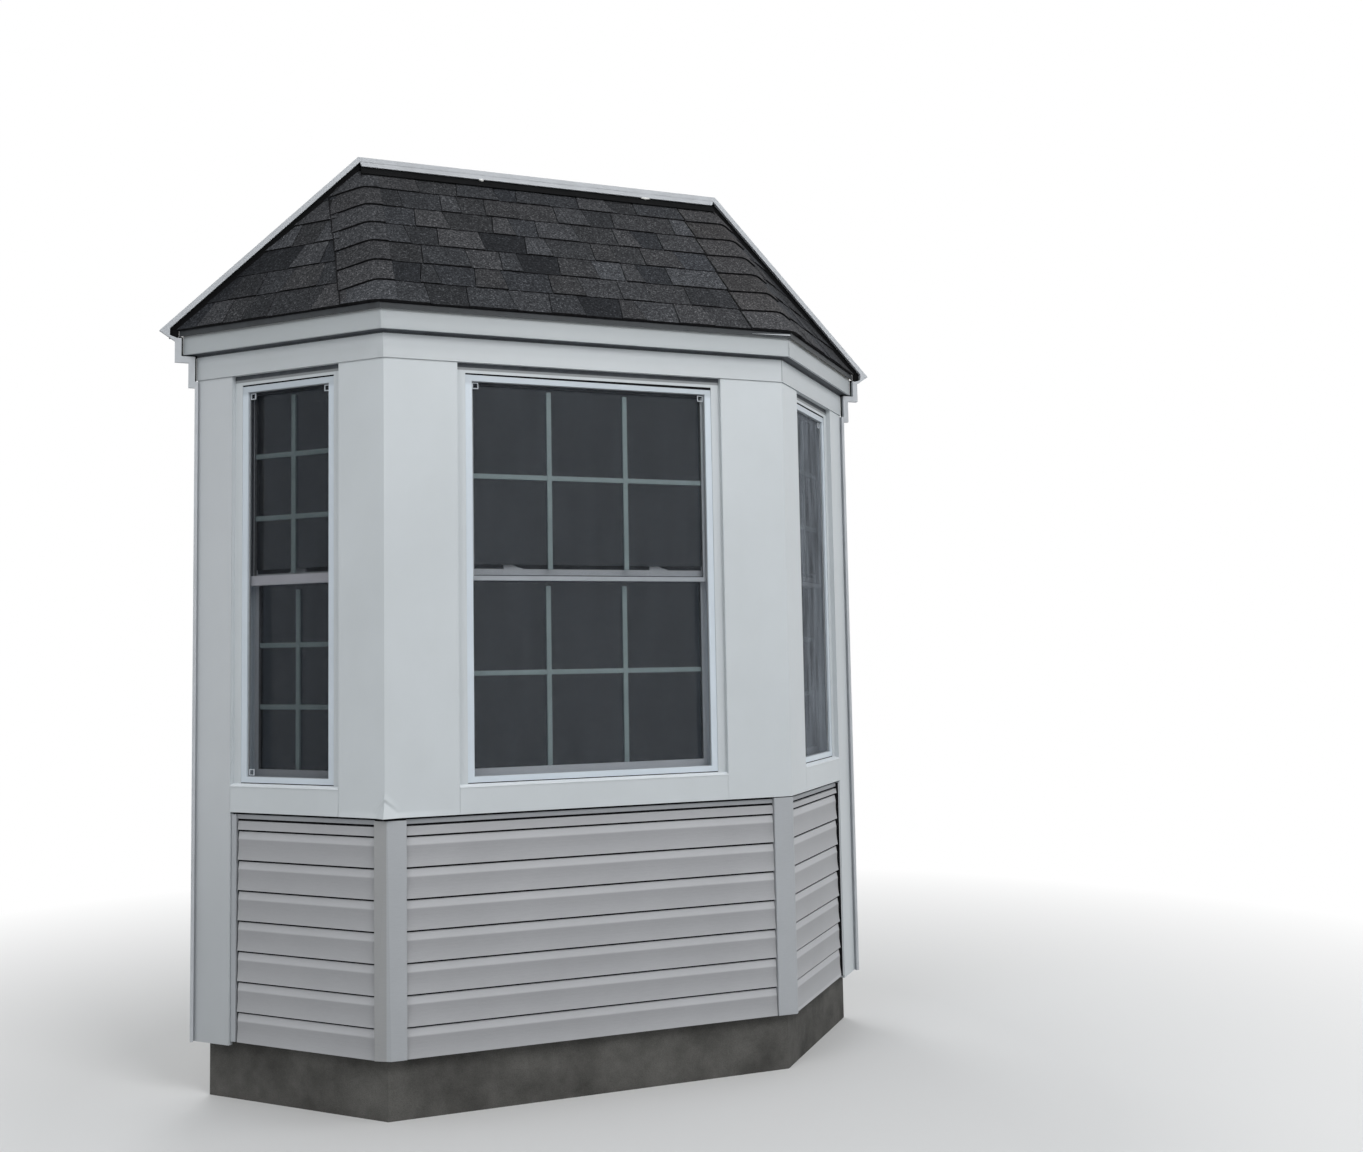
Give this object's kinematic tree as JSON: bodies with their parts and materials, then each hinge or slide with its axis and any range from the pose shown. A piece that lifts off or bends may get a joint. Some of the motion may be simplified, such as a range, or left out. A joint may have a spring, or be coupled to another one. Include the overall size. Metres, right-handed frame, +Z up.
{
  "type": "three-sided bay window with a hipped roof",
  "caption": "Three-sided bay window with double-hung windows, white trim, lap-sided apron, hipped shingle roof and low foundation, cut off at the house wall.",
  "frame": {"origin": "middle of the bottom of the bay's bounding box, on the ground", "axes": "+Z up, +Y towards the house wall, +X along the wall to the right as seen from outside"},
  "size_m": [3.2132, 0.695, 3.7849],
  "materials": {
    "foundation": "dark parged masonry, rough",
    "lumber": "sawn softwood framing",
    "plywood": "softwood plywood, flat",
    "floor_boards": "oak strip floor, satin varnish",
    "lining": "painted plasterboard, matte",
    "inner_trim": "white painted wood, semi-gloss",
    "shingles": "charcoal laminated asphalt shingles with mineral granules",
    "drip_edge": "black coated sheet metal",
    "flashing": "dark coated step flashing",
    "channel": "white vinyl channel",
    "siding": "warm grey vinyl lap siding, low sheen, fine grain",
    "siding_trim": "grey vinyl corner post and channels, low sheen",
    "trim": "white coated aluminium trim coil over boards, satin",
    "window_frame": "white extruded vinyl, satin",
    "sash": "white extruded vinyl, satin",
    "glass": "clear insulated glass",
    "screen": "charcoal woven insect mesh in a slim frame"
  },
  "bodies": {
    "root": {"foundation": "foundation", "sill_plate": "lumber", "floor_joists": "lumber", "subfloor": "plywood", "floor_boards": "floor_boards", "knee_wall_left": "lumber", "knee_wall_front": "lumber", "knee_wall_right": "lumber", "corner_post_left": "lumber", "corner_post_right": "lumber", "end_post_left": "lumber", "end_post_right": "lumber", "header": "lumber", "lining": "lining", "baseboard": "inner_trim", "ceiling": "lining", "ceiling_joists": "lumber", "ridge_board": "lumber", "common_rafters": "lumber", "hip_rafters": "lumber", "jack_rafters": "lumber", "wall_rafters": "lumber", "roof_deck": "plywood", "shingles_left": "shingles", "shingles_front": "shingles", "shingles_right": "shingles", "drip_edge": "drip_edge", "wall_flashing": "flashing", "wall_channel": "channel", "siding_left": "siding", "siding_front": "siding", "siding_right": "siding", "siding_corners": "siding_trim", "siding_channels": "siding_trim", "wall_trim": "trim", "corner_panels": "trim", "sill_band": "trim", "frieze": "trim", "fascia": "trim", "window_jambs": "trim", "window_casings": "inner_trim", "frame_left": "window_frame", "frame_front": "window_frame", "frame_right": "window_frame", "upper_sash_left": "sash", "upper_sash_front": "sash", "upper_sash_right": "sash", "lower_sash_left": "sash", "lower_sash_front": "sash", "lower_sash_right": "sash", "glass": "glass", "insect_screens": "screen"}
  },
  "joints": []
}
